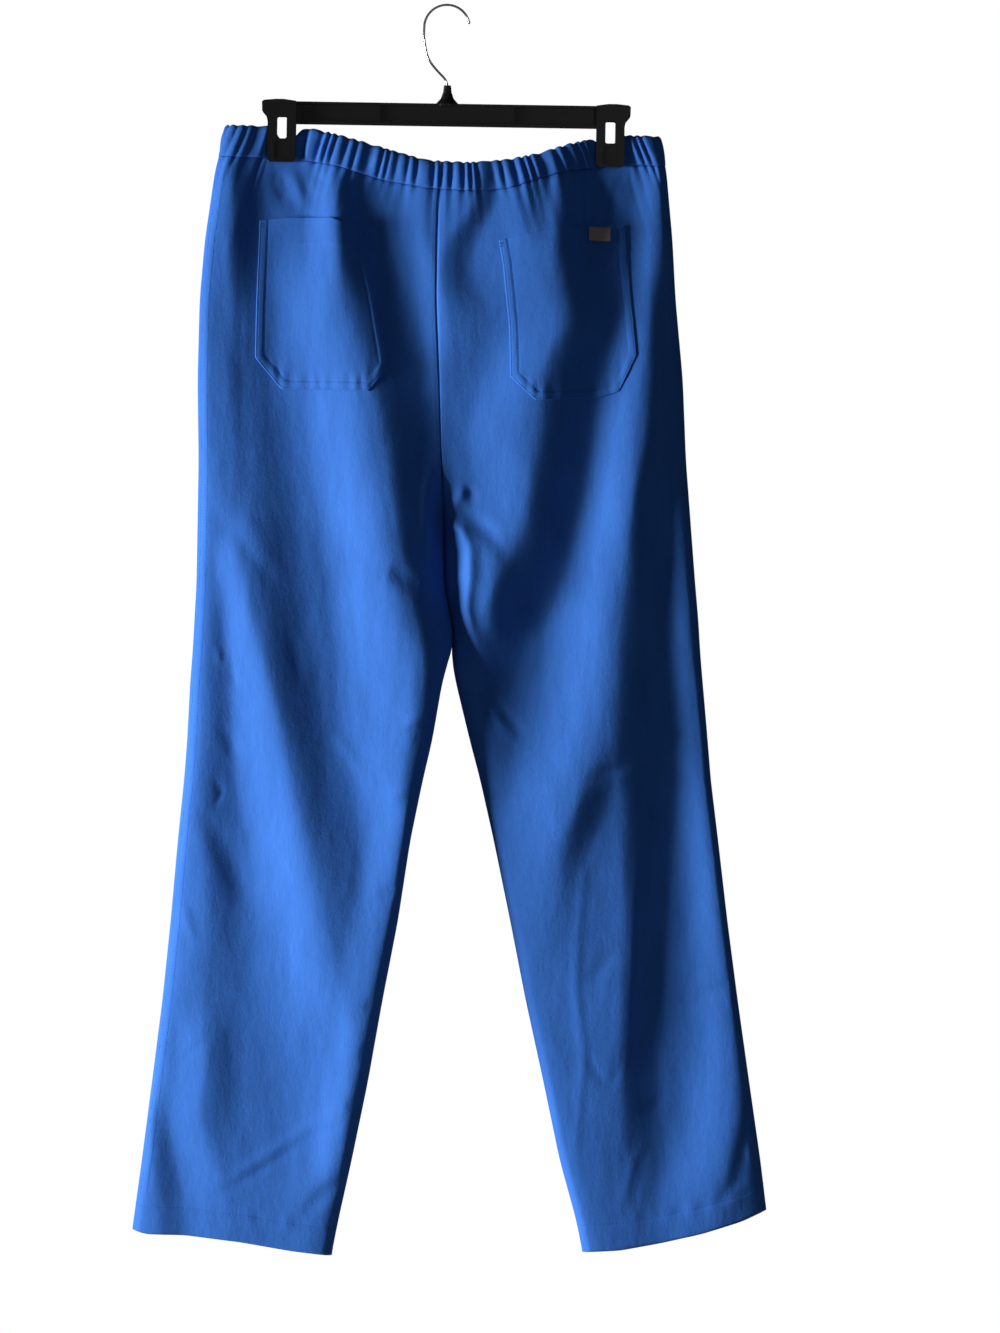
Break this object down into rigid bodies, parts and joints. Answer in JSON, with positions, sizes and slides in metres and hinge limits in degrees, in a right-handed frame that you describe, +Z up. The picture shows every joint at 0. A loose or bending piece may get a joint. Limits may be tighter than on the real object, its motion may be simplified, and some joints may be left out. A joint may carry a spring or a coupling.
{
  "type": "scrub trousers on a clip hanger",
  "caption": "Straight-leg scrub trousers with gathered elastic waist and back patch pockets, hung flat by the waistband from a bar hanger with sprung clips and a wire hook.",
  "frame": {"origin": "inside top of the wire hook, where the hanger hangs on a rail or wall hook", "axes": "+Z up; the back of the trousers faces -Y; the wearer's left is -X"},
  "size_m": [0.6126, 0.0906, 1.2082],
  "materials": {
    "scrub_cloth": "fine plain-weave cotton blend, softly creased",
    "casing_cloth": "the same cloth gathered over elastic",
    "tab_cloth": "small woven tab, blank",
    "hanger_plastic": "moulded black, semi-gloss",
    "hook_wire": "bright plated wire"
  },
  "bodies": {
    "root": {"back_left": "scrub_cloth", "back_right": "scrub_cloth", "front_left": "scrub_cloth", "front_right": "scrub_cloth", "waistband_left": "casing_cloth", "waistband_right": "casing_cloth", "pocket_left": "scrub_cloth", "pocket_right": "scrub_cloth", "pocket_tab": "tab_cloth", "hanger_bar": "hanger_plastic", "hanger_hook": "hook_wire", "clip_left_rear": "hanger_plastic", "clip_left_front": "hanger_plastic", "clip_right_rear": "hanger_plastic", "clip_right_front": "hanger_plastic"}
  },
  "joints": []
}
